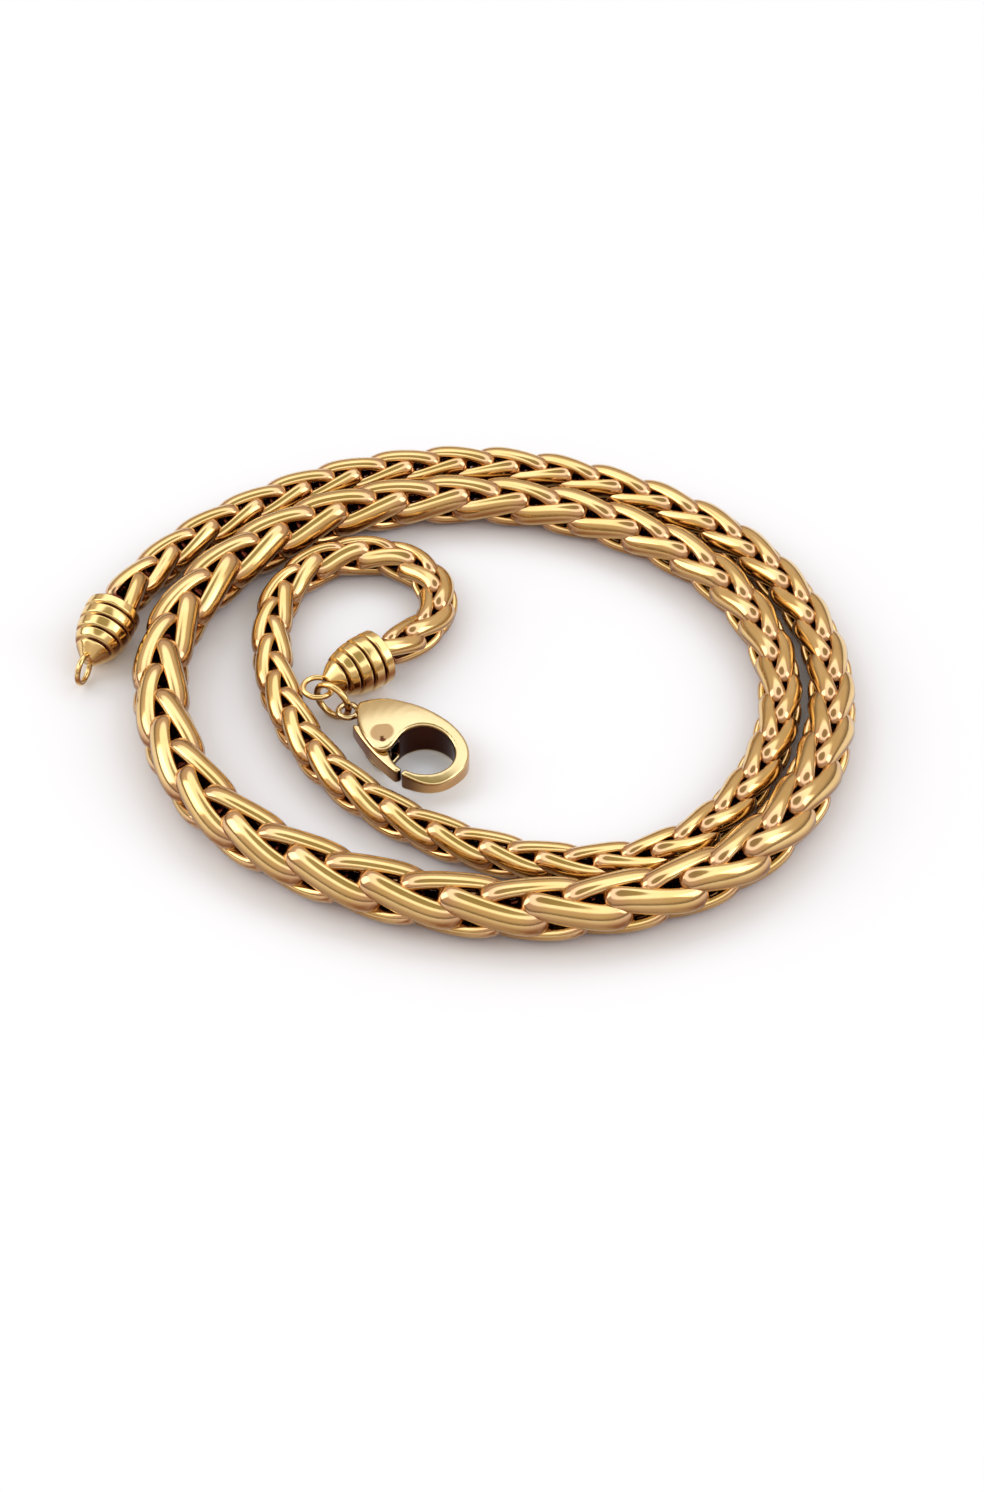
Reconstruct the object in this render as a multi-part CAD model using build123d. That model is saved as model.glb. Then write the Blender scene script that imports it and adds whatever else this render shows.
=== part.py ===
from build123d import *

import os

import numpy as np

# A graduated foxtail neck chain in gold, open and lying in a flat clockwise spiral, in millimetres.
# The weave is of closed oval links.  Each is twisted along the chain, so that its front end stands
# upright and its back end lies flat, and it passes through the links in front of it and behind it.
# A ribbed end cap holds each end of the weave.  The inner cap's eye carries a round ring, and the ring
# carries the clasp, whose lever swings inwards on a pin.  The object lies on z = 0 with +Z up, and the
# origin is the middle of the floor that it covers.

# The weave.  Its width is over the outside, and the shares are of the width at that place.  The lean
# is its roll about its own line, and fades to none over the small loop by the inner cap.
widest_width = 6.1
wire_share = 0.225
pitch_share = 0.60
half_length_share = 0.75
link_turn = 66.0
end_power = 0.63
side_power = 0.30
link_segments = 10
wire_sides = 5
lean_mean = 21.5
lean_difference = 5.5
lean_free_length = 60.0
lean_fade_length = 20.0
end_rise_length = 8.0

# How the width swells along the chain: (share of the chain's length, share of the widest width).
GRADUATION = (
    (0.00, 0.71),
    (0.22, 0.74),
    (0.30, 0.92),
    (0.36, 1.00),
    (0.50, 0.93),
    (0.62, 0.80),
    (0.75, 0.71),
    (1.00, 0.66),
)

# The chain's route over the floor as (x, y), from the bottom of the outer cap's bore, clockwise and
# inwards to the bottom of the inner cap's bore.
ROUTE = (
    (-33.75, 7.0), (-29.75, 17.25), (-18.75, 26.0), (-7.0, 30.5), (5.75, 30.75), (18.25, 26.0),
    (27.5, 19.25), (34.25, 7.5), (35.0, -5.5), (30.0, -19.25), (21.25, -27.0), (8.75, -30.25),
    (-3.75, -28.75), (-15.75, -23.75), (-24.75, -15.5), (-29.0, -2.25), (-27.5, 9.5), (-18.5, 20.5),
    (-7.5, 25.25), (4.75, 26.0), (17.0, 21.25), (26.0, 13.75), (30.75, 1.25), (28.25, -11.5),
    (20.25, -22.25), (9.0, -24.5), (-5.0, -19.0), (-13.5, -10.5), (-17.25, -1.25), (-18.0, 4.0),
    (-18.25, 9.25), (-16.5, 14.5), (-12.25, 18.0), (-6.75, 18.0), (-2.5, 14.5), (-2.0, 9.25),
    (-5.5, 5.0), (-9.5, 1.75),
)
samples_per_span = 60

# The end caps.  The ribs' places are shares of the ribbed length and their crests of the cap's radius.
cap_radius = 2.9
cap_bore_radius = 2.36
cap_bore_depth = 2.0
cap_ribbed_length = 5.6
cap_cone_length = 6.1
cap_cone_radius = 0.85
groove_depth = 0.25
seat_gap = 0.3
RIBS = (
    (0.18, 1.00),
    (0.41, 0.98),
    (0.64, 0.88),
    (0.84, 0.72),
    (1.00, 0.55),
)
eye_hole_radius = 1.1
eye_wire = 0.54
eye_land = 0.25
eye_sink = 0.1

# Each cap's mouth is this far above the cap's radius, and its axis rises by the tilt towards the eye.
outer_cap_rise = 0.2
outer_cap_tilt = -10.0
inner_cap_rise = 0.0
inner_cap_tilt = 2.0

# The ring between the inner cap and the clasp.  It stands nearly on edge, through both eyes.
ring_radius = 1.8
ring_wire = 0.64
ring_heading = -35.0
ring_offset_in_eye = 0.2
floor_gap = 0.02

# The clasp.  Its own frame has the tail's hole at its origin and +X towards the far end of the hook.
clasp_length = 14.45
clasp_width = 7.85
clasp_thickness = 3.6
clasp_crown_radius = 26.0
clasp_heading = -38.4
clasp_corner_share = 0.41
clasp_round_share = 0.87
tail_hole_radius = 0.62
tail_wire = 0.6
pin_diameter = 0.6
pin_play = 0.04
dimple_diameter = 0.5
dimple_depth = 0.15
lever_thickness = 1.7
lever_side_gap = 0.08
lever_round = 0.25
lever_corner = 0.2

# Outlines in the clasp's frame as (share of its length along, share of its width across).
CROWN = (0.450, 0.204)
PIN = (0.401, -0.255)
OUTER_EDGE = (
    (0.046, 0.089),
    (0.113, 0.230),
    (0.186, 0.322),
    (0.267, 0.375),
    (0.349, 0.417),
    (0.433, 0.449),
    (0.528, 0.464),
    (0.627, 0.463),
    (0.738, 0.425),
    (0.826, 0.354),
    (0.895, 0.240),
    (0.933, 0.090),
    (0.938, -0.100),
    (0.912, -0.290),
    (0.854, -0.410),
    (0.750, -0.488),
    (0.655, -0.515),
)
INNER_EDGE = (
    (0.655, -0.420),
    (0.708, -0.404),
    (0.771, -0.341),
    (0.822, -0.243),
    (0.850, -0.131),
    (0.855, -0.010),
    (0.834, 0.104),
    (0.790, 0.194),
    (0.722, 0.258),
    (0.643, 0.278),
    (0.573, 0.250),
    (0.520, 0.183),
    (0.487, 0.088),
    (0.472, -0.015),
    (0.476, -0.133),
    (0.482, -0.255),
)
LOBE = (
    (0.482, -0.255),
    (0.457, -0.372),
    (0.385, -0.405),
)
BACK_EDGE = (
    (0.385, -0.405),
    (0.240, -0.285),
    (0.046, 0.089),
)
SLOT_CORNER = (0.110, -0.100)
SLOT_BACK = (0.345, -0.108)
SLOT_END = 0.590
LEVER_TAB = ((0.190, -0.160), (0.115, -0.205))
LEVER_OUTSIDE = (0.370, -0.412)
LEVER_TIP = (0.618, -0.514)
LEVER_TIP_INSIDE = -0.420
LEVER_INSIDE = (0.540, -0.380)
lever_hub_radius = 0.86


def eased(share):
    """Ease from 0 to 1 with level ends."""
    t = np.clip(share, 0.0, 1.0)
    return t * t * (3.0 - 2.0 * t)


def route_line():
    """Points along the route, a uniform cubic B-spline on ROUTE that starts and ends at its end points."""
    chosen = np.array(ROUTE, float)
    padded = np.vstack([2 * chosen[0] - chosen[1], chosen, 2 * chosen[-1] - chosen[-2]])
    t = np.linspace(0.0, 1.0, samples_per_span, endpoint=False)
    rising = -3 * t**3 + 3 * t**2 + 3 * t + 1
    weights = np.stack([(1 - t) ** 3, 3 * t**3 - 6 * t**2 + 4, rising, t**3], 1) / 6
    spans = [weights @ padded[i : i + 4] for i in range(len(padded) - 3)]
    return np.vstack(spans + [chosen[-1:]])


LINE = route_line()
STATION = np.concatenate([[0.0], np.cumsum(np.linalg.norm(np.diff(LINE, axis=0), axis=1))])
HEADING = np.unwrap(np.arctan2(np.gradient(LINE[:, 1]), np.gradient(LINE[:, 0])))
route_length = float(STATION[-1])


def width_at(station):
    """Width of the weave at a distance along the route, eased from row to row of GRADUATION."""
    share = np.clip(np.asarray(station, float) / route_length, 0.0, 1.0)
    table = np.array(GRADUATION)
    row = np.clip(np.searchsorted(table[:, 0], share, side="right") - 1, 0, len(table) - 2)
    part = (share - table[row, 0]) / (table[row + 1, 0] - table[row, 0])
    return widest_width * (table[row, 1] + (table[row + 1, 1] - table[row, 1]) * eased(part))


def height_at(station):
    """Height of the weave's axis: on the floor, rising near each end to the mouth of the cap."""
    station = np.asarray(station, float)
    low = width_at(station) / 2
    mouth = cap_radius + np.where(station < route_length / 2, outer_cap_rise, inner_cap_rise)
    from_mouth = np.minimum(station, route_length - station) - cap_bore_depth
    return low + (mouth - low) * eased(1 - from_mouth / end_rise_length)


def on_route(across, up, station):
    """Carry a place in the straight chain (to the right, up, along) to its place on the route."""
    x = np.interp(station, STATION, LINE[:, 0])
    y = np.interp(station, STATION, LINE[:, 1])
    heading = np.interp(station, STATION, HEADING)
    return np.stack([x + across * np.sin(heading), y - across * np.cos(heading), height_at(station) + up], -1)


def link_surface(centre, width, hand):
    """Corners of one link: rings of wire section round an oval that is twisted about the chain's line.

    Along the oval, the distance from the link's middle is a power of the cosine and the half width is a
    power of the sine, so the oval is squarer than an ellipse.  Its plane turns by link_turn from the back
    end to the front end, and leans as the chain has rolled where it lies.  The lean fades out before the
    small loop by the inner cap.
    """
    reach = half_length_share * width
    spread = (1 - wire_share) / 2 * width
    angle = np.arange(link_segments) / link_segments * 2 * np.pi
    along = reach * np.sign(np.cos(angle)) * np.abs(np.cos(angle)) ** end_power
    half = spread * np.sign(np.sin(angle)) * np.abs(np.sin(angle)) ** side_power
    facing = np.cos(np.interp(centre, STATION, HEADING))
    share = eased((route_length - centre - lean_free_length) / lean_fade_length)
    lean = np.radians(lean_mean * facing + lean_difference * facing**2) * share
    turn = lean + hand * (np.pi / 4 - np.radians(link_turn) / 2 * along / reach)
    line = np.stack([half * np.sin(turn), half * np.cos(turn), along], -1)
    tangent = np.roll(line, -1, axis=0) - np.roll(line, 1, axis=0)
    tangent /= np.linalg.norm(tangent, axis=1, keepdims=True)
    outward = line - np.sum(line * tangent, axis=1, keepdims=True) * tangent
    outward /= np.linalg.norm(outward, axis=1, keepdims=True)
    sideways = np.cross(tangent, outward)
    around = (np.arange(wire_sides) / wire_sides * 2 * np.pi)[None, :, None]
    section = np.cos(around) * outward[:, None] + np.sin(around) * sideways[:, None]
    place = line[:, None] + wire_share * width / 2 * section
    return on_route(place[..., 0], place[..., 1], centre + place[..., 2])


def triangle(corners):
    """A flat face on three corners."""
    return Face(Wire.make_polygon([Vector(*map(float, corner)) for corner in corners], close=True))


def link_solid(centre, width, hand):
    """One link as a closed solid of flat triangles."""
    grid = link_surface(centre, width, hand)
    faces = []
    for i in range(link_segments):
        for j in range(wire_sides):
            ahead = (i + 1) % link_segments
            beside = (j + 1) % wire_sides
            faces.append(triangle((grid[i, j], grid[ahead, j], grid[ahead, beside])))
            faces.append(triangle((grid[i, j], grid[ahead, beside], grid[i, beside])))
    return Solid(Shell(faces))


def link_stations():
    """Middles of the links, one pitch apart, with the first and last ends seated in the caps' bores."""
    end_share = half_length_share + wire_share / 2
    first = seat_gap + end_share * float(width_at(0.0))
    last = route_length - seat_gap - end_share * float(width_at(route_length))
    stations = [first]
    while stations[-1] + pitch_share * float(width_at(stations[-1])) <= last:
        stations.append(stations[-1] + pitch_share * float(width_at(stations[-1])))
    spare = last - stations[-1]
    return [station + spare * i / (len(stations) - 1) for i, station in enumerate(stations)]


def chain():
    """The woven chain: every link is a loose solid, and the twist changes hand from link to link."""
    hands = (1, -1)
    stations = link_stations()
    return Compound([link_solid(s, float(width_at(s)), hands[i % 2]) for i, s in enumerate(stations)])


def cap_section():
    """Half section of a cap, radius against distance from the mouth: rounded ribs and then a cone."""
    crests = [cap_radius * share for _, share in RIBS]
    floors = [min(pair) - groove_depth for pair in zip(crests, crests[1:])] + [crests[-1] - groove_depth]
    ends = [share * cap_ribbed_length for share, _ in RIBS]
    with BuildSketch(Plane.XZ) as section:
        with BuildLine():
            low = (crests[0] - groove_depth, 0.0)
            Line((cap_bore_radius, 0.0), low)
            for crest, floor, end in zip(crests, floors, ends):
                high = (floor, end)
                ThreePointArc(low, (crest, (low[1] + end) / 2), high)
                low = high
            Line(low, (cap_cone_radius, cap_cone_length))
            Line((cap_cone_radius, cap_cone_length), (0, cap_cone_length))
            Line((0, cap_cone_length), (0, cap_bore_depth))
            Line((0, cap_bore_depth), (cap_bore_radius, cap_bore_depth))
            Line((cap_bore_radius, cap_bore_depth), (cap_bore_radius, 0.0))
        make_face()
    return section.sketch


def eye_distance():
    """Distance from a cap's mouth to the middle of its eye, so that the eye's hole clears the cone."""
    return cap_cone_length + eye_hole_radius - eye_sink


def ring_of_wire(hole_radius, wire, land):
    """A ring of round wire about Z, with a narrow straight land left by the drill in its hole."""
    middle = hole_radius - (wire / 2 - np.sqrt((wire / 2) ** 2 - (land / 2) ** 2)) + wire / 2
    ring = Solid.make_torus(float(middle), wire / 2)
    return ring - Cylinder(hole_radius, 2 * wire)


def end_cap(station, roll):
    """A cap with its eye soldered on.  It is seated on the end of the route, and the eye's plane is
    turned by roll about the cap's axis, from flat."""
    body = revolve(cap_section(), axis=Axis.Z)
    eye = Plane.YZ.location * ring_of_wire(eye_hole_radius, eye_wire, eye_land)
    eye = Pos(0, 0, eye_distance()) * Rot(0, 0, roll) * eye
    cap = body + eye
    return end_frame(station) * cap


def end_frame(station):
    """Frame at the mouth of the cap on one end of the route: Z runs along the axis to the eye."""
    heading = float(np.interp(station, STATION, HEADING))
    inner = station > route_length / 2
    run = np.array([np.cos(heading), np.sin(heading)]) * (1.0 if inner else -1.0)
    mouth = (LINE[-1] if inner else LINE[0]) - run * cap_bore_depth
    rise = inner_cap_rise if inner else outer_cap_rise
    tilt = np.radians(inner_cap_tilt if inner else outer_cap_tilt)
    return Plane(
        origin=(float(mouth[0]), float(mouth[1]), cap_radius + rise),
        x_dir=(float(-run[0] * np.sin(tilt)), float(-run[1] * np.sin(tilt)), float(np.cos(tilt))),
        z_dir=(float(run[0] * np.cos(tilt)), float(run[1] * np.cos(tilt)), float(np.sin(tilt))),
    ).location


def ring_places():
    """Middle of the ring and of the clasp's tail hole as (x, y), and the height of the ring's middle.

    The ring stands on the floor.  Its wire passes through the cap's eye near the middle of the eye, and
    through the tail at half the clasp's thickness.
    """
    middle_height = ring_radius + ring_wire / 2 + floor_gap
    run = np.array([np.cos(np.radians(ring_heading)), np.sin(np.radians(ring_heading))])
    eye = (end_frame(route_length) * Pos(0, 0, eye_distance() - ring_offset_in_eye)).position
    to_eye = np.sqrt(ring_radius**2 - (eye.Z - middle_height) ** 2)
    to_tail = np.sqrt(ring_radius**2 - (clasp_thickness / 2 - middle_height) ** 2)
    middle = np.array([eye.X, eye.Y]) + run * to_eye
    return middle, middle + run * to_tail, middle_height


def link_ring():
    """The plain ring of round wire between the inner cap's eye and the clasp's tail."""
    middle, _, height = ring_places()
    ring = Plane.XZ.location * Solid.make_torus(ring_radius, ring_wire / 2)
    return Location((float(middle[0]), float(middle[1]), height), (0, 0, ring_heading)) * ring


def clasp_place():
    """Location of the clasp's own frame."""
    _, tail, _ = ring_places()
    return Location((float(tail[0]), float(tail[1]), 0), (0, 0, clasp_heading))


def at(shares):
    """A place in the clasp's frame from its shares of the clasp's length and width."""
    return (shares[0] * clasp_length, shares[1] * clasp_width)


def clasp_corner():
    """Radius of the outline's corners: a share of the breadth of the hook's tip."""
    breadth = (INNER_EDGE[0][1] - OUTER_EDGE[-1][1]) * clasp_width
    return clasp_corner_share * breadth


def clasp_outline():
    """The clasp's body from above: a teardrop plate whose far end runs round into the hook."""
    with BuildSketch() as outline:
        with BuildLine():
            Spline(*[at(p) for p in OUTER_EDGE])
            Line(at(OUTER_EDGE[-1]), at(INNER_EDGE[0]))
            Spline(*[at(p) for p in INNER_EDGE])
            ThreePointArc(*[at(p) for p in LOBE])
            ThreePointArc(*[at(p) for p in BACK_EDGE])
        make_face()
        fillet(outline.vertices(), clasp_corner())
    return outline.sketch


def clasp_half_thickness(x, y):
    """Half the clasp's thickness at a place: its top and underside are parts of two large spheres."""
    crown_x, crown_y = at(CROWN)
    away = (x - crown_x) ** 2 + (y - crown_y) ** 2
    return clasp_thickness / 2 - clasp_crown_radius + float(np.sqrt(clasp_crown_radius**2 - away))


def clasp_body():
    """The clasp's plate, hook and tail ring in one, slotted for the lever, with the pin riveted in."""
    plate = extrude(clasp_outline(), clasp_thickness)
    for height in (clasp_thickness - clasp_crown_radius, clasp_crown_radius):
        plate &= Pos(*at(CROWN), height) * Sphere(clasp_crown_radius)
    rims = plate.faces().filter_by(GeomType.SPHERE).edges()
    plate = fillet(rims, clasp_round_share * clasp_corner())
    slot_height = lever_thickness + 2 * lever_side_gap
    corner, back = at(SLOT_CORNER), at(SLOT_BACK)
    far_x, far_y = SLOT_END * clasp_length, -clasp_width
    with BuildSketch() as slot:
        with BuildLine():
            Polyline(corner, back, (far_x, back[1]), (far_x, far_y), (corner[0], far_y), corner)
        make_face()
    cut = Pos(0, 0, (clasp_thickness - slot_height) / 2) * extrude(slot.sketch, slot_height)
    pin_x, pin_y = at(PIN)
    pin = Pos(pin_x, pin_y, clasp_thickness / 2) * Cylinder(pin_diameter / 2, slot_height + 2 * pin_play)
    tail = Pos(0, 0, clasp_thickness / 2) * ring_of_wire(tail_hole_radius, tail_wire, tail_wire / 3)
    body = plate - cut + pin + tail
    for side in (-1, 1):
        surface = clasp_thickness / 2 + side * clasp_half_thickness(pin_x, pin_y)
        body -= Pos(pin_x, pin_y, surface) * Cylinder(dimple_diameter / 2, 2 * dimple_depth)
    return clasp_place() * body


def clasp_lever():
    """The lever: a curved bar on the pin, from the thumb tab near the tail to the hook's tip."""
    pin_x, pin_y = at(PIN)
    tip = at(LEVER_TIP)
    reach = float(np.hypot(tip[0] - pin_x, tip[1] - pin_y))
    inside_y = LEVER_TIP_INSIDE * clasp_width
    tip_inside = (pin_x + float(np.sqrt(reach**2 - (inside_y - pin_y) ** 2)), inside_y)
    half = np.arctan2(tip[1] + inside_y - 2 * pin_y, tip[0] + tip_inside[0] - 2 * pin_x)
    tip_middle = (pin_x + reach * float(np.cos(half)), pin_y + reach * float(np.sin(half)))
    hub_front = (pin_x + lever_hub_radius, pin_y)
    hub_top = (pin_x, pin_y + lever_hub_radius)
    hub_back = (pin_x - lever_hub_radius, pin_y)
    tab_inside, tab_outside = at(LEVER_TAB[0]), at(LEVER_TAB[1])
    with BuildSketch() as outline:
        with BuildLine():
            ThreePointArc(tab_outside, at(LEVER_OUTSIDE), tip)
            ThreePointArc(tip, tip_middle, tip_inside)
            ThreePointArc(tip_inside, at(LEVER_INSIDE), hub_front)
            ThreePointArc(hub_front, hub_top, hub_back)
            Line(hub_back, tab_inside)
            Line(tab_inside, tab_outside)
        make_face()
        fillet(outline.vertices(), lever_corner)
    bar = extrude(outline.sketch, lever_thickness)
    rims = bar.edges().group_by(Axis.Z)[0] + bar.edges().group_by(Axis.Z)[-1]
    bar = fillet(rims, lever_round)
    bar -= Pos(pin_x, pin_y, lever_thickness / 2) * Cylinder(pin_diameter / 2 + pin_play, 2 * lever_thickness)
    return clasp_place() * Pos(0, 0, (clasp_thickness - lever_thickness) / 2) * bar


if __name__ == "__main__":
    os.makedirs("parts", exist_ok=True)
    pieces = {
        "chain": chain(),
        "end_cap_outer": end_cap(0.0, 90.0),
        "end_cap_clasp": end_cap(route_length, 0.0),
        "link_ring": link_ring(),
        "clasp_body": clasp_body(),
        "clasp_lever": clasp_lever(),
    }
    for name, piece in pieces.items():
        export_step(piece, "parts/" + name + ".step", write_pcurves=name != "chain")
    whole = Compound([piece for piece in pieces.values()]).bounding_box()
    print("route length %.1f mm, %d links" % (route_length, len(link_stations())))
    print("low corner", whole.min, "high corner", whole.max)
    hinge = clasp_place() * Pos(*at(PIN), clasp_thickness / 2)
    print("pin at", hinge.position)
    free_eye = end_frame(0.0) * Pos(0, 0, eye_distance())
    print("free eye at", free_eye.position)
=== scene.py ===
import bmesh
import bpy
import numpy as np
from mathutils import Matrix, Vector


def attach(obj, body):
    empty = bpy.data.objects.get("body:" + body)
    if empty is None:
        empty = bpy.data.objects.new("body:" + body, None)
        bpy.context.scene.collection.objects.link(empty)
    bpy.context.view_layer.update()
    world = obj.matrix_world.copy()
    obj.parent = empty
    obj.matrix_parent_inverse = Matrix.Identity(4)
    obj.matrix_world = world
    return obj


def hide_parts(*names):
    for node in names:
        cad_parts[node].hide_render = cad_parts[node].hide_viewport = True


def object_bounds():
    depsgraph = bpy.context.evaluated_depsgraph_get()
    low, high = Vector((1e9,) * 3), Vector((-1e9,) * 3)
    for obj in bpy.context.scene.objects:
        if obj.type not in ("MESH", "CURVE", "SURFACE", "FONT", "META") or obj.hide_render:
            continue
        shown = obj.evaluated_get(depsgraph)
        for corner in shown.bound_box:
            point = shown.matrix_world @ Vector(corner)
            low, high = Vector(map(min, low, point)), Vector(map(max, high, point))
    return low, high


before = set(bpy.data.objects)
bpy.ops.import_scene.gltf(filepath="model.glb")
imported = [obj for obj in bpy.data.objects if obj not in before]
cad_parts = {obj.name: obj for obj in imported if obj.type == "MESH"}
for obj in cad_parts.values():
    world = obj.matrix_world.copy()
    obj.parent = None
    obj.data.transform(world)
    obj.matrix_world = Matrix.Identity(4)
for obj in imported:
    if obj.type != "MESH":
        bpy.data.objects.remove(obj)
cad_low, cad_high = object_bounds()
mm = 0.001


# The weave.  Each link is a closed loop of polished gold wire, squarer than an ellipse and twisted along
# the chain, and it passes through its neighbours.  The weave swells towards the middle of the necklace
# and lies in a flat spiral that ends in a small loop.
widest_width = 6.1 * mm

# Shares of the weave's width at the link: the wire's thickness, what is added to its breadth where it
# lies outermost, the reach of its outer side, the step from link to link, and half a link's length.
wire_share = 0.27
broad_share = 0.15
outer_share = 0.472
pitch_share = 0.60
half_length_share = 0.8625

# The wire starts to broaden at the first share of the way out to a link's side, and ends at the second.
broad_from = 0.45
broad_full = 0.90

# The turn of a link's plane from end to end, and the powers that square its ends and its sides.
link_turn = np.radians(66.0)
end_power = 0.63
side_power = 0.30

# The chain has rolled over, by the mean lean times the cosine of its heading and the difference times the
# square of that cosine.  Its last stretch before the clasp has not rolled.
lean_mean = np.radians(21.5)
lean_difference = np.radians(5.5)
lean_free_length = 60.0 * mm
lean_fade_length = 20.0 * mm

# The end links' seats: the weave rises near each end to the middle of the cap's mouth.
end_rise_length = 8.0 * mm
seat_gap = 0.3 * mm
cap_radius = 2.9 * mm
cap_bore_depth = 2.0 * mm
outer_cap_rise = 0.2 * mm

# Share of the way along the route, and the weave's width there as a share of the widest.
graduation = np.array([
    (0.00, 0.71), (0.22, 0.74), (0.30, 0.92), (0.36, 1.00),
    (0.50, 0.93), (0.62, 0.80), (0.75, 0.71), (1.00, 0.66),
])

# The points that the middle line follows, seen from above, from the outer cap to the clasp's cap.
route_points = mm * np.array([
    (-33.75, 7.0), (-29.75, 17.25), (-18.75, 26.0), (-7.0, 30.5), (5.75, 30.75), (18.25, 26.0),
    (27.5, 19.25), (34.25, 7.5), (35.0, -5.5), (30.0, -19.25), (21.25, -27.0), (8.75, -30.25),
    (-3.75, -28.75), (-15.75, -23.75), (-24.75, -15.5), (-29.0, -2.25), (-27.5, 9.5), (-18.5, 20.5),
    (-7.5, 25.25), (4.75, 26.0), (17.0, 21.25), (26.0, 13.75), (30.75, 1.25), (28.25, -11.5),
    (20.25, -22.25), (9.0, -24.5), (-5.0, -19.0), (-13.5, -10.5), (-17.25, -1.25), (-18.0, 4.0),
    (-18.25, 9.25), (-16.5, 14.5), (-12.25, 18.0), (-6.75, 18.0), (-2.5, 14.5), (-2.0, 9.25),
    (-5.5, 5.0), (-9.5, 1.75),
])
samples_a_span = 60

# Rings of corners along a link, corners round its wire, and points at which its loop is measured.
weave_along = 44
weave_around = 14
fine_count = 4001

# A link is yellow along its length. Painted on it are a rose reflection at its heads, brown shade on its
# upright sides and near the floor, and dark red shade deep in the weave.
dull_yellow = (0.81, 0.55, 0.22, 1.0)
bright_yellow = (0.87, 0.61, 0.27, 1.0)
head_reflection_rose = (0.72, 0.44, 0.24, 1.0)
side_shade_brown = (0.24, 0.085, 0.025, 1.0)
floor_shade_brown = (0.30, 0.12, 0.04, 1.0)
deep_shade_red = (0.13, 0.030, 0.016, 1.0)
floor_shade_from = 0.2 * mm
floor_shade_to = 2.2 * mm

# Upward part of the normal where a surface counts as upright, and as flat.
upright_level = 0.02
flat_level = 0.50


def eased(share):
    """Three times the square of the share less twice its cube, held between 0 and 1."""
    t = np.clip(share, 0.0, 1.0)
    return t * t * (3.0 - 2.0 * t)


def route_line(points, samples):
    """A uniform cubic B-spline on the points, with mirrored end points so that it starts and ends there."""
    padded = np.vstack([2 * points[0] - points[1], points, 2 * points[-1] - points[-2]])
    t = np.linspace(0.0, 1.0, samples, endpoint=False)
    rising = -3 * t**3 + 3 * t**2 + 3 * t + 1
    weights = np.stack([(1 - t) ** 3, 3 * t**3 - 6 * t**2 + 4, rising, t**3], 1) / 6
    groups = np.stack([padded[i : len(padded) - 3 + i] for i in range(4)], 1)
    spans = np.einsum("sk,nkd->nsd", weights, groups).reshape(-1, 2)
    return np.vstack([spans, points[-1:]])


line = route_line(route_points, samples_a_span)
station = np.concatenate([[0.0], np.cumsum(np.linalg.norm(np.diff(line, axis=0), axis=1))])
heading = np.unwrap(np.arctan2(np.gradient(line[:, 1]), np.gradient(line[:, 0])))
route_length = station[-1]


def width_at(place):
    """The weave's width: the rows of the graduation, eased from one row to the next."""
    share = np.clip(np.asarray(place, float) / route_length, 0.0, 1.0)
    row = np.clip(np.searchsorted(graduation[:, 0], share, side="right") - 1, 0, len(graduation) - 2)
    part = (share - graduation[row, 0]) / (graduation[row + 1, 0] - graduation[row, 0])
    return widest_width * (graduation[row, 1] + (graduation[row + 1, 1] - graduation[row, 1]) * eased(part))


def height_at(place):
    """Height of the weave's middle: half its width, rising at each end to the middle of the cap's mouth."""
    low = width_at(place) / 2
    mouth = cap_radius + np.where(place < route_length / 2, outer_cap_rise, 0.0)
    from_mouth = np.minimum(place, route_length - place) - cap_bore_depth
    return low + (mouth - low) * eased(1 - from_mouth / end_rise_length)


def link_middles():
    """Places of the links along the route, one pitch apart, with what is left over shared out evenly."""
    first = seat_gap + half_length_share * width_at(0.0)
    last = route_length - seat_gap - half_length_share * width_at(route_length)
    places = [first]
    while places[-1] + pitch_share * width_at(places[-1]) <= last:
        places.append(places[-1] + pitch_share * width_at(places[-1]))
    return np.array(places) + (last - places[-1]) * np.linspace(0.0, 1.0, len(places))


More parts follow.
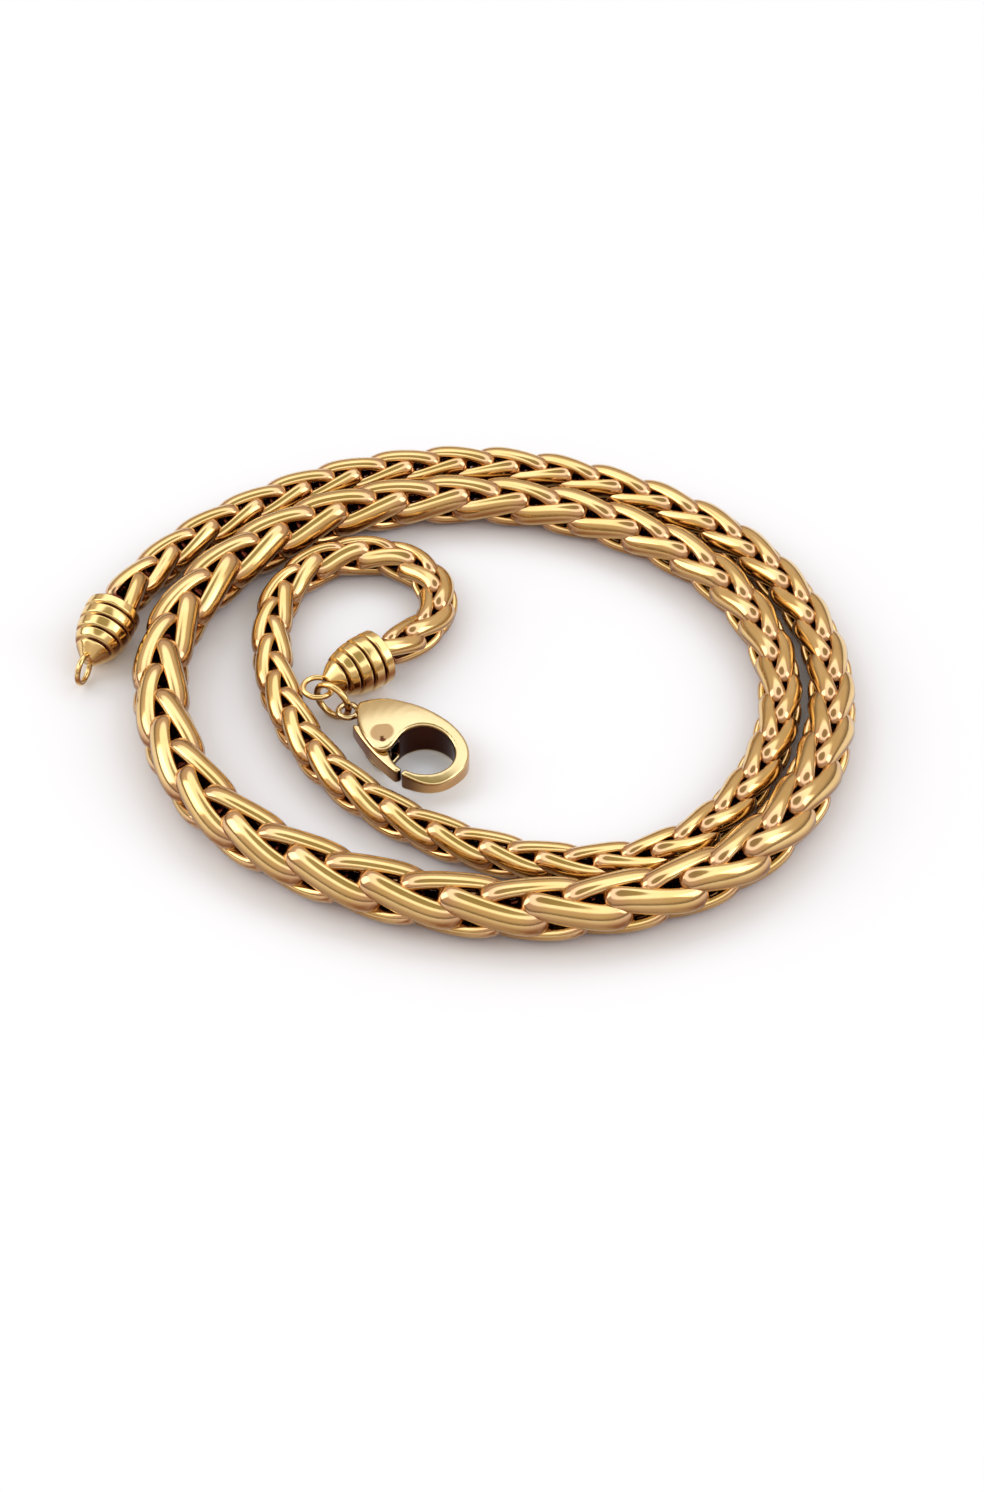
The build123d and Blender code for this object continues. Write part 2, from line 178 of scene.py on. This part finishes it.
def link_grid(middle, along_count, around_count):
    """All links at once: rings of wire section round a twisted loop, then bent on to the route.

    The distance along from the link's middle is its half length times a power of the cosine of the angle
    round the loop, and the distance to the side is its half width times a power of the sine.  The rings
    lie evenly on such a loop that is half as wide as it is long.  The loop's plane turns evenly from end
    to end, the other way from one link to the next, and leans as the chain has rolled.  The wire's section
    is an ellipse, as thick all round the loop, and broader where it lies outermost.  Gives points, and for
    each the depth in the weave, 0 at its middle line and 1 at its outside, and the share of the way from
    the link's middle to its end.
    """
    width = width_at(middle)[:, None]
    hand = np.where(np.arange(len(middle)) % 2 == 0, 1.0, -1.0)[:, None]
    reach = (half_length_share - wire_share / 2) * width
    spread = (outer_share - wire_share / 2) * width
    fine = np.linspace(0.0, 2 * np.pi, fine_count)
    loop_x = 0.5 * np.sign(np.sin(fine)) * np.abs(np.sin(fine)) ** side_power
    loop_y = np.sign(np.cos(fine)) * np.abs(np.cos(fine)) ** end_power
    run = np.concatenate([[0.0], np.cumsum(np.hypot(np.diff(loop_x), np.diff(loop_y)))])
    angle = np.interp(np.arange(along_count) / along_count * run[-1], run, fine)[None]
    along = reach * np.sign(np.cos(angle)) * np.abs(np.cos(angle)) ** end_power
    half = spread * np.sign(np.sin(angle)) * np.abs(np.sin(angle)) ** side_power
    facing = np.cos(np.interp(middle, station, heading))
    rolled = eased((route_length - middle - lean_free_length) / lean_fade_length)
    lean = ((lean_mean * facing + lean_difference * facing**2) * rolled)[:, None]
    turn = lean + hand * (np.pi / 4 - link_turn / 2 * along / reach)
    centre = np.stack([half * np.sin(turn), half * np.cos(turn), along], -1)
    tangent = np.roll(centre, -1, axis=1) - np.roll(centre, 1, axis=1)
    tangent /= np.linalg.norm(tangent, axis=2, keepdims=True)
    outward = centre - np.sum(centre * tangent, axis=2, keepdims=True) * tangent
    outward /= np.linalg.norm(outward, axis=2, keepdims=True)
    sideways = np.cross(tangent, outward)
    around = (np.arange(around_count) / around_count * 2 * np.pi)[:, None]
    way_out = np.hypot(centre[..., 0], centre[..., 1]) / spread
    broad = wire_share + broad_share * eased((way_out - broad_from) / (broad_full - broad_from))
    section = (
        wire_share / 2 * np.cos(around) * outward[:, :, None]
        + broad[:, :, None, None] / 2 * np.sin(around) * sideways[:, :, None]
    )
    local = centre[:, :, None] + width[:, :, None, None] * section
    place = middle[:, None, None] + local[..., 2]
    depth = np.hypot(local[..., 0], local[..., 1]) / (width[:, :, None] / 2)
    x = np.interp(place, station, line[:, 0])
    y = np.interp(place, station, line[:, 1])
    course = np.interp(place, station, heading)
    points = np.stack([
        x + local[..., 0] * np.sin(course),
        y - local[..., 0] * np.cos(course),
        height_at(place) + local[..., 1],
    ], -1)
    end_share = np.broadcast_to((np.abs(along) / reach)[:, :, None], depth.shape)
    return points, depth, end_share


def put_in_mesh(name, points, faces):
    """A new mesh object at the origin with these corners and four-sided or three-sided faces."""
    mesh = bpy.data.meshes.new(name)
    mesh.vertices.add(len(points))
    mesh.vertices.foreach_set("co", np.ascontiguousarray(points, float).ravel())
    mesh.loops.add(faces.size)
    mesh.loops.foreach_set("vertex_index", faces.ravel())
    mesh.polygons.add(len(faces))
    mesh.polygons.foreach_set("loop_start", np.arange(0, faces.size, faces.shape[1]))
    mesh.polygons.foreach_set("use_smooth", np.ones(len(faces), bool))
    mesh.update(calc_edges=True)
    mesh.validate()
    piece = bpy.data.objects.new(name, mesh)
    bpy.context.collection.objects.link(piece)
    return piece


def ring_faces(copies, long_count, short_count):
    """Faces of a number of like tubes that close on themselves both ways, each with its own corners."""
    i = np.arange(long_count)[:, None]
    j = np.arange(short_count)[None]
    ahead = (i + 1) % long_count
    beside = (j + 1) % short_count
    corner = np.stack(np.broadcast_arrays(
        i * short_count + j, i * short_count + beside, ahead * short_count + beside, ahead * short_count + j,
    ), -1).reshape(-1, 4)
    shift = np.arange(copies)[:, None, None] * long_count * short_count
    return (corner[None] + shift).reshape(-1, 4)


def mark_points(piece, name, values):
    """Stores one number for each corner of the piece, for its material to read."""
    layer = piece.data.attributes.new(name, "FLOAT", "POINT")
    layer.data.foreach_set("value", np.ascontiguousarray(values, np.float32).ravel())


def mark_level(piece):
    """Stores how level the surface is at each face corner: 0 where it stands upright, 1 where it lies flat.

    It is the size of the normal's upward part.
    """
    normals = np.empty(3 * len(piece.data.loops), np.float32)
    piece.data.corner_normals.foreach_get("vector", normals)
    layer = piece.data.attributes.new("level", "FLOAT", "CORNER")
    layer.data.foreach_set("value", np.abs(normals[2::3]))


class Socket:
    """A value in a material's node tree that can be written in sums."""

    def __init__(self, tree, link):
        self.tree = tree
        self.link = link

    def node(self, kind, settings, inputs, output=0):
        """Any node, by its type, its settings and the values or links of its sockets."""
        made = self.tree.nodes.new(kind)
        for key, value in settings.items():
            setattr(made, key, value)
        for key, value in inputs.items():
            if isinstance(value, Socket):
                self.tree.links.new(value.link, made.inputs[key])
            else:
                made.inputs[key].default_value = value
        return Socket(self.tree, made.outputs[output])

    def maths(self, operation, first, second):
        """A Math node on two values or links."""
        return self.node("ShaderNodeMath", {"operation": operation}, {0: first, 1: second})

    def __add__(self, other):
        return self.maths("ADD", self, other)

    def __radd__(self, other):
        return self.maths("ADD", other, self)

    def __sub__(self, other):
        return self.maths("SUBTRACT", self, other)

    def __rsub__(self, other):
        return self.maths("SUBTRACT", other, self)

    def __mul__(self, other):
        return self.maths("MULTIPLY", self, other)

    def __rmul__(self, other):
        return self.maths("MULTIPLY", other, self)

    def between(self, low, high):
        """0 at or under low, 1 at or over high, and eased from one to the other."""
        return self.node("ShaderNodeMapRange", {"interpolation_type": "SMOOTHSTEP"},
                         {"Value": self, "From Min": low, "From Max": high})

    def attribute(self, name):
        """A number stored on the piece."""
        return self.node("ShaderNodeAttribute", {"attribute_name": name}, {}, 2)

    def blend(self, first, second):
        """The first colour where this is 0, the second where it is 1."""
        return self.node("ShaderNodeMix", {"data_type": "RGBA"}, {0: self, 6: first, 7: second}, 2)


def new_gold(name):
    """A new metal, and the place on the object as a socket for its tones."""
    metal = bpy.data.materials.new(name)
    metal.use_nodes = True
    coordinate = metal.node_tree.nodes.new("ShaderNodeTexCoord")
    return metal, Socket(metal.node_tree, coordinate.outputs["Object"])


def clouded(place, dull, bright, cloud_scale):
    """A tone that drifts from dull to bright with a soft noise."""
    cloud = place.node("ShaderNodeTexNoise", {}, {"Vector": place, "Scale": cloud_scale, "Detail": 2.0})
    return cloud.between(0.35, 0.65).blend(dull, bright)


def polish(metal, place, tone, wear_scale, smoothest, wear):
    """Lays the tone on the metal, and a roughness of the smoothest plus the wear times a fine noise."""
    shader = metal.node_tree.nodes["Principled BSDF"]
    shader.inputs["Metallic"].default_value = 1.0
    metal.node_tree.links.new(tone.link, shader.inputs["Base Color"])
    rubbed = place.node("ShaderNodeTexNoise", {}, {"Vector": place, "Scale": wear_scale, "Detail": 3.0})
    metal.node_tree.links.new((smoothest + wear * rubbed).link, shader.inputs["Roughness"])


middles = link_middles()
weave_points, weave_depth, weave_end = link_grid(middles, weave_along, weave_around)
# What the broader wire would put past the box of the solids is held at its side.
weave_points = np.clip(weave_points, cad_low, cad_high)
weave_faces = ring_faces(len(middles), weave_along, weave_around)
weave = put_in_mesh("weave", weave_points.reshape(-1, 3), weave_faces)
mark_points(weave, "depth", weave_depth)
mark_points(weave, "end_share", weave_end)
mark_level(weave)

weave_gold, place = new_gold("weave_gold")
yellow = clouded(place, dull_yellow, bright_yellow, cloud_scale=260.0)
# Painted reflection: rose at the links' heads.
rose_reflected_heads = place.attribute("end_share").between(0.45, 0.95).blend(yellow, head_reflection_rose)
# Painted shade: brown on the links' upright sides.
side_shaded = place.attribute("level").between(upright_level, flat_level).blend(side_shade_brown, rose_reflected_heads)
height = place.node("ShaderNodeSeparateXYZ", {}, {"Vector": place}, 2)
# Painted shade: browner near the floor.
floor_shaded = height.between(floor_shade_from, floor_shade_to).blend(floor_shade_brown, side_shaded)
# Painted shade: dark red deep in the weave.
weave_tone = place.attribute("depth").between(0.45, 0.80).blend(deep_shade_red, floor_shaded)
polish(weave_gold, place, weave_tone, wear_scale=1400.0, smoothest=0.11, wear=0.08)
weave.data.materials.append(weave_gold)
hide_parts("chain")
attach(weave, "necklace")


# The two end caps.  Each is a turned gold cup that narrows towards its tip, with four narrow grooves cut
# round it.  A small ring of wire is soldered on its tip, and the last links are fixed in its bore.
cap_bore_radius = 2.36 * mm
mouth_lip = 0.1 * mm
cap_ribbed_length = 5.6 * mm
cap_cone_length = 6.1 * mm
groove_depth = 0.27 * mm
groove_width = 0.13 * mm
groove_places = cap_ribbed_length * np.array([0.18, 0.41, 0.64, 0.84])
outer_cap_tilt = np.radians(-10.0)
inner_cap_tilt = np.radians(2.0)
envelope_samples_a_span = 30
cap_samples = 150
cap_sides = 80

# Distance from the mouth as a share of the ribbed length, and the radius there as a share of the cap's.
cap_envelope = np.array([
    (0.00, 0.915), (0.18, 0.935), (0.41, 0.91), (0.64, 0.82), (0.84, 0.67), (0.98, 0.44), (1.09, 0.27),
]) * np.array([cap_ribbed_length, cap_radius])

eye_hole_radius = 1.1 * mm
eye_wire = 0.54 * mm
eye_sink = 0.1 * mm
eye_distance = cap_cone_length + eye_hole_radius - eye_sink
eye_along = 64
wire_around = 20

# The grooves carry painted shade, darkest where the surface faces slot_side, to the right, the front and
# above. With the cosine of the angle to slot_side under slot_from, they have the faint share of that
# darkness, and the whole of it past that by slot_over.
slot_side = np.array([0.50, -0.55, 0.67])
faint_share = 0.30
slot_from = 0.30
slot_over = 0.45

# The ribs are yellow. The brown on upright sides and the dark in the grooves are painted shade.
rib_yellow = (0.88, 0.63, 0.27, 1.0)
rib_side_shade_brown = (0.30, 0.11, 0.03, 1.0)
groove_shade_dark = (0.06, 0.012, 0.006, 1.0)


def cap_profile(samples):
    """Radius against distance from the mouth, as (radius, distance) from the bore's bottom round to the tip.

    The radius follows a smooth line, less the groove depth times the sum, over the grooves, of the
    exponential of minus the square of the distance from the groove in groove widths.  Also gives the
    height above the groove floors, 0 in a groove and in the bore, and 1 on a rib.
    """
    envelope = route_line(cap_envelope, envelope_samples_a_span)
    distance = np.linspace(0.0, cap_envelope[-1, 0], samples)
    near_groove = np.exp(-(((distance[:, None] - groove_places) / groove_width) ** 2)).sum(1)
    radius = np.interp(distance, envelope[:, 0], envelope[:, 1]) - groove_depth * near_groove
    bore = np.array([(0.0, cap_bore_depth), (cap_bore_radius, cap_bore_depth), (cap_bore_radius, mouth_lip)])
    outside = np.stack([radius, distance], 1)
    crest = np.concatenate([np.zeros(3), 1 - np.clip(near_groove, 0, 1), [1.0]])
    return np.vstack([bore, outside, [(0.0, cap_envelope[-1, 0])]]), crest


def turned(profile, sides):
    """Corners and faces of a profile turned about Z, its first and last points being on the axis."""
    around = np.arange(sides) / sides * 2 * np.pi
    body = profile[1:-1]
    rings = np.stack(np.broadcast_arrays(
        body[:, :1] * np.cos(around), body[:, :1] * np.sin(around), body[:, 1:],
    ), -1).reshape(-1, 3)
    poles = np.array([(0.0, 0.0, profile[0, 1]), (0.0, 0.0, profile[-1, 1])])
    i = np.arange(len(body) - 1)[:, None]
    j = np.arange(sides)[None]
    beside = (j + 1) % sides
    a, b, c, d = np.broadcast_arrays(
        i * sides + j, i * sides + beside, (i + 1) * sides + beside, (i + 1) * sides + j)
    wall = np.concatenate([np.stack([a, b, c], -1).reshape(-1, 3), np.stack([a, c, d], -1).reshape(-1, 3)])
    first = np.full(sides, len(rings))
    last = np.full(sides, len(rings) + 1)
    end = (len(body) - 1) * sides
    fans = np.concatenate([
        np.stack([first, beside[0], j[0]], 1), np.stack([last, end + j[0], end + beside[0]], 1)])
    return np.vstack([rings, poles]), np.vstack([wall, fans])


def wire_ring(radius, wire, long_count, short_count):
    """Corners and faces of a ring of round wire about Z, with the radius of its middle line."""
    turn = (np.arange(long_count) / long_count * 2 * np.pi)[:, None]
    around = (np.arange(short_count) / short_count * 2 * np.pi)[None]
    reach = radius + wire / 2 * np.cos(around)
    points = np.stack(np.broadcast_arrays(
        reach * np.cos(turn), reach * np.sin(turn), wire / 2 * np.sin(around)), -1).reshape(-1, 3)
    quads = ring_faces(1, long_count, short_count)[:, ::-1]
    return points, np.vstack([quads[:, [0, 1, 2]], quads[:, [0, 2, 3]]])


def cap_frame(at_inner_end):
    """Middle of the cap's mouth, and the cap's own X, Y and Z as rows: Z runs to the eye, X is upwards."""
    end = -1 if at_inner_end else 0
    way = heading[end] + (0.0 if at_inner_end else np.pi)
    tilt = inner_cap_tilt if at_inner_end else outer_cap_tilt
    run = np.array([np.cos(way), np.sin(way)])
    mouth = line[end] - run * cap_bore_depth
    height = cap_radius + (0.0 if at_inner_end else outer_cap_rise)
    z_way = np.array([*(run * np.cos(tilt)), np.sin(tilt)])
    x_way = np.array([*(-run * np.sin(tilt)), np.cos(tilt)])
    return np.array([*mouth, height]), np.stack([x_way, np.cross(z_way, x_way), z_way])


cap_gold, place = new_gold("cap_gold")
# Painted shade: brown on the upright sides of the caps and the ring.
side_shaded = place.attribute("level").between(upright_level, flat_level).blend(rib_side_shade_brown, rib_yellow)
# Painted shade: dark in the grooves, read from the crest.
cap_tone = place.attribute("crest").between(0.15, 0.85).blend(groove_shade_dark, side_shaded)
polish(cap_gold, place, cap_tone, wear_scale=1200.0, smoothest=0.14, wear=0.08)

profile, cap_crest = cap_profile(cap_samples)
cap_points, cap_faces = turned(profile, cap_sides)
eye_points, eye_faces = wire_ring(eye_hole_radius + eye_wire / 2, eye_wire, eye_along, wire_around)
for node, at_inner_end, eye_upright in (("end_cap_outer", False, True), ("end_cap_clasp", True, False)):
    origin, axes = cap_frame(at_inner_end)
    if eye_upright:
        eye = np.stack([eye_points[:, 0], eye_points[:, 2], eye_points[:, 1]], 1)
        eye_side = eye_faces[:, ::-1]
    else:
        eye = np.stack([eye_points[:, 2], eye_points[:, 0], eye_points[:, 1]], 1)
        eye_side = eye_faces
    eye = eye + np.array([0.0, 0.0, eye_distance])
    points = np.vstack([cap_points, eye]) @ axes + origin
    faces = np.vstack([cap_faces, eye_side + len(cap_points)])
    cap = put_in_mesh(node.replace("end_cap", "ribbed_cap"), points, faces)
    # The crest carries the grooves' painted shade, stronger on the side towards slot_side.
    off_axis = cap_points[:-2] * (1.0, 1.0, 0.0)
    to_slot_side = off_axis @ axes @ slot_side / np.hypot(*off_axis[:, :2].T)
    darkness = faint_share + (1 - faint_share) * eased((to_slot_side - slot_from) / slot_over)
    crest = np.ones(len(points))
    crest[: len(cap_points) - 2] = 1 - (1 - np.repeat(cap_crest[1:-1], cap_sides)) * darkness
    mark_points(cap, "crest", crest)
    mark_level(cap)
    cap.data.materials.append(cap_gold)
    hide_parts(node)
    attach(cap, "necklace")


# The ring.  It is a plain ring of round gold wire that stands nearly on edge, and it passes through the
# inner cap's eye and the clasp's tail.
ring_radius = 1.8 * mm
ring_wire = 0.64 * mm
ring_heading = np.radians(-35.0)
ring_offset_in_eye = 0.2 * mm
ring_gap = 0.02 * mm
ring_along = 72

origin, axes = cap_frame(True)
in_eye = origin + axes[2] * (eye_distance - ring_offset_in_eye)
ring_height = ring_radius + ring_wire / 2 + ring_gap
ring_run = np.array([np.cos(ring_heading), np.sin(ring_heading), 0.0])
ring_middle = in_eye + ring_run * np.sqrt(ring_radius**2 - (in_eye[2] - ring_height) ** 2)
ring_middle[2] = ring_height
ring_points, ring_sides = wire_ring(ring_radius, ring_wire, ring_along, wire_around)
ring_axes = np.stack([ring_run, [0.0, 0.0, 1.0], np.cross(ring_run, [0.0, 0.0, 1.0])])
ring = put_in_mesh("round_ring", ring_points @ ring_axes + ring_middle, ring_sides)
mark_points(ring, "crest", np.ones(len(ring_points)))
mark_level(ring)
ring.data.materials.append(cap_gold)
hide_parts("link_ring")
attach(ring, "necklace")


# The clasp.  Its body is one polished gold casting, a teardrop plate that runs round into the hook, with a
# ring for a tail.  The lever swings on a riveted pin, and its thumb tab stands out of the slot.
merge_distance = 0.002 * mm
even_face = 0.08 * mm
smooth_turns = 20

# Places seen from above: the middle of the pin, of the facet beside it and of the hook's hole. The facet
# is no facet of the shape but a painted reflection on the plate, round but for a straight edge at facet_top.
pin_place = (-7.33 * mm, -8.38 * mm, 0.0)
facet_place = (-7.38 * mm, -7.53 * mm, 0.0)
facet_top = -6.50 * mm
facet_edge = 0.1 * mm
facet_full = 0.95 * mm
facet_end = 1.25 * mm
hole_middle = (-3.46 * mm, -9.54 * mm, 0.0)

# The plate is yellow. Painted on it are a tan reflection at the facet and dark shade at the pin. Walls round
# the hook's hole get nearly black painted shade, and outer walls a painted shade that goes from amber to
# brown with the distance from the hole.
dull_plate = (0.74, 0.57, 0.29, 1.0)
bright_plate = (0.80, 0.62, 0.33, 1.0)
facet_reflection_tan = (0.42, 0.26, 0.12, 1.0)
pin_shade_dark = (0.14, 0.04, 0.02, 1.0)
hole_shade_dark = (0.05, 0.014, 0.008, 1.0)
wall_shade_amber = (0.50, 0.28, 0.12, 1.0)
wall_shade_brown = (0.24, 0.09, 0.04, 1.0)


def rounded_copy(node, name):
    """A copy of a solid's mesh, merged and made again from small even faces, then smoothed at its edges."""
    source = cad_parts[node]
    shape = bmesh.new()
    shape.from_mesh(source.data)
    bmesh.ops.remove_doubles(shape, verts=shape.verts, dist=merge_distance)
    mesh = bpy.data.meshes.new(name)
    shape.to_mesh(mesh)
    shape.free()
    piece = bpy.data.objects.new(name, mesh)
    bpy.context.collection.objects.link(piece)
    even = piece.modifiers.new("even", "REMESH")
    even.mode = "VOXEL"
    even.voxel_size = even_face
    even.use_smooth_shade = True
    soft = piece.modifiers.new("soft", "SMOOTH")
    soft.factor = 0.5
    soft.iterations = smooth_turns
    made = bpy.data.meshes.new_from_object(piece.evaluated_get(bpy.context.evaluated_depsgraph_get()))
    piece.modifiers.clear()
    piece.data = made
    return piece


def away_from(flat_place, spot):
    """Distance from a spot, seen from above."""
    return flat_place.node("ShaderNodeVectorMath", {"operation": "DISTANCE"}, {0: flat_place, 1: spot}, 1)


clasp_gold, place = new_gold("clasp_gold")
flat_place = place.node("ShaderNodeVectorMath", {"operation": "MULTIPLY"}, {0: place, 1: (1.0, 1.0, 0.0)})
forward = place.node("ShaderNodeSeparateXYZ", {}, {"Vector": place}, 1)
plate = clouded(place, dull_plate, bright_plate, cloud_scale=180.0)
# Painted reflection: a tan patch beside the pin.
in_reflection_patch = 1 - away_from(flat_place, facet_place).between(facet_full, facet_end)
facet = in_reflection_patch * (1 - forward.between(facet_top - facet_edge, facet_top))
faced = facet.blend(plate, facet_reflection_tan)
# Painted shade: dark at the pin.
pinned = away_from(flat_place, pin_place).between(0.15 * mm, 0.30 * mm).blend(pin_shade_dark, faced)
from_hole = away_from(flat_place, hole_middle)
# Painted shade on the outer walls, from amber to brown.
outer_wall_shade = from_hole.between(4.6 * mm, 5.4 * mm).blend(wall_shade_amber, wall_shade_brown)
# Painted shade: nearly black walls round the hook's hole.
clasp_wall_shade = from_hole.between(3.3 * mm, 3.9 * mm).blend(hole_shade_dark, outer_wall_shade)
# Upright walls get the painted shade, level tops the plate's tone.
clasp_tone = place.attribute("level").between(0.05, 0.55).blend(clasp_wall_shade, pinned)
polish(clasp_gold, place, clasp_tone, wear_scale=1300.0, smoothest=0.13, wear=0.09)
for node, name, body in (("clasp_body", "clasp_hook", "necklace"), ("clasp_lever", "thumb_lever", "lever")):
    piece = rounded_copy(node, name)
    mark_level(piece)
    piece.data.materials.clear()
    piece.data.materials.append(clasp_gold)
    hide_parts(node)
    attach(piece, body)


# The floor is a plain white board.  The light is soft: a panel at each side, a pale ceiling over tan
# walls, and a darker round opening near its top, as in a jeweller's light tent.
board_size = 4.0
board_white = (0.94, 0.95, 0.99, 1.0)
board_roughness = 0.7
low_wall = (0.16, 0.12, 0.09, 1.0)
high_wall = (0.64, 0.54, 0.46, 1.0)
ceiling_white = (1.48, 1.52, 1.60, 1.0)
opening_tone = (0.40, 0.36, 0.22, 1.0)
opening_way = (0.0, -0.105, 0.994)
tent_strength = 1.05

bpy.ops.mesh.primitive_plane_add(size=board_size, location=(0.0, 0.0, 0.0))
board = bpy.context.object
board.name = "board"
board_paint = bpy.data.materials.new("board_white")
board_paint.use_nodes = True
board_paint.node_tree.nodes["Principled BSDF"].inputs["Base Color"].default_value = board_white
board_paint.node_tree.nodes["Principled BSDF"].inputs["Roughness"].default_value = board_roughness
board.data.materials.append(board_paint)

# Each panel has its name, its place and width in metres, and its power in watts, and faces the middle.
for name, stand, size, power in (
    ("left", (-0.60, 0.05, 0.30), 0.35, 0.9),
    ("right", (0.60, -0.10, 0.35), 0.30, 0.7),
):
    panel = bpy.data.lights.new(name, "AREA")
    panel.size = size
    panel.energy = power
    lamp = bpy.data.objects.new(name, panel)
    bpy.context.collection.objects.link(lamp)
    lamp.location = stand
    back = np.array(stand) / np.linalg.norm(stand)
    lamp.rotation_euler = (np.arccos(back[2]), 0.0, np.arctan2(back[1], back[0]) + np.pi / 2)

room = bpy.data.worlds.new("room")
bpy.context.scene.world = room
room.use_nodes = True
room_light = room.node_tree.nodes["Background"]
way = Socket(room.node_tree, room.node_tree.nodes.new("ShaderNodeTexCoord").outputs["Generated"])
upward = way.node("ShaderNodeSeparateXYZ", {}, {"Vector": way}, 2)
to_opening = way.node("ShaderNodeVectorMath", {"operation": "DOT_PRODUCT"}, {0: way, 1: opening_way}, 1)
tent_wall = upward.between(0.00, 0.35).blend(low_wall, high_wall)
ceiling = upward.between(0.56, 0.70).blend(tent_wall, ceiling_white)
shaded = to_opening.between(0.87, 0.91).blend(ceiling, opening_tone)
room.node_tree.links.new(shaded.link, room_light.inputs["Color"])
room_light.inputs["Strength"].default_value = tent_strength
bpy.context.scene.view_settings.view_transform = "Standard"


# The camera stands in front of the necklace and looks down at 45 degrees.
camera_lens = 113.5
camera_sensor = 36.0
camera_distance = 0.4368
look_down = np.radians(45.0)
aim = np.array([0.00275, -0.006, 0.0])

camera_data = bpy.data.cameras.new("camera")
camera_data.lens = camera_lens
camera_data.sensor_width = camera_sensor
camera = bpy.data.objects.new("camera", camera_data)
bpy.context.collection.objects.link(camera)
camera.location = aim + camera_distance * np.array([0.0, -np.cos(look_down), np.sin(look_down)])
camera.rotation_euler = (np.pi / 2 - look_down, 0.0, 0.0)
bpy.context.scene.camera = camera
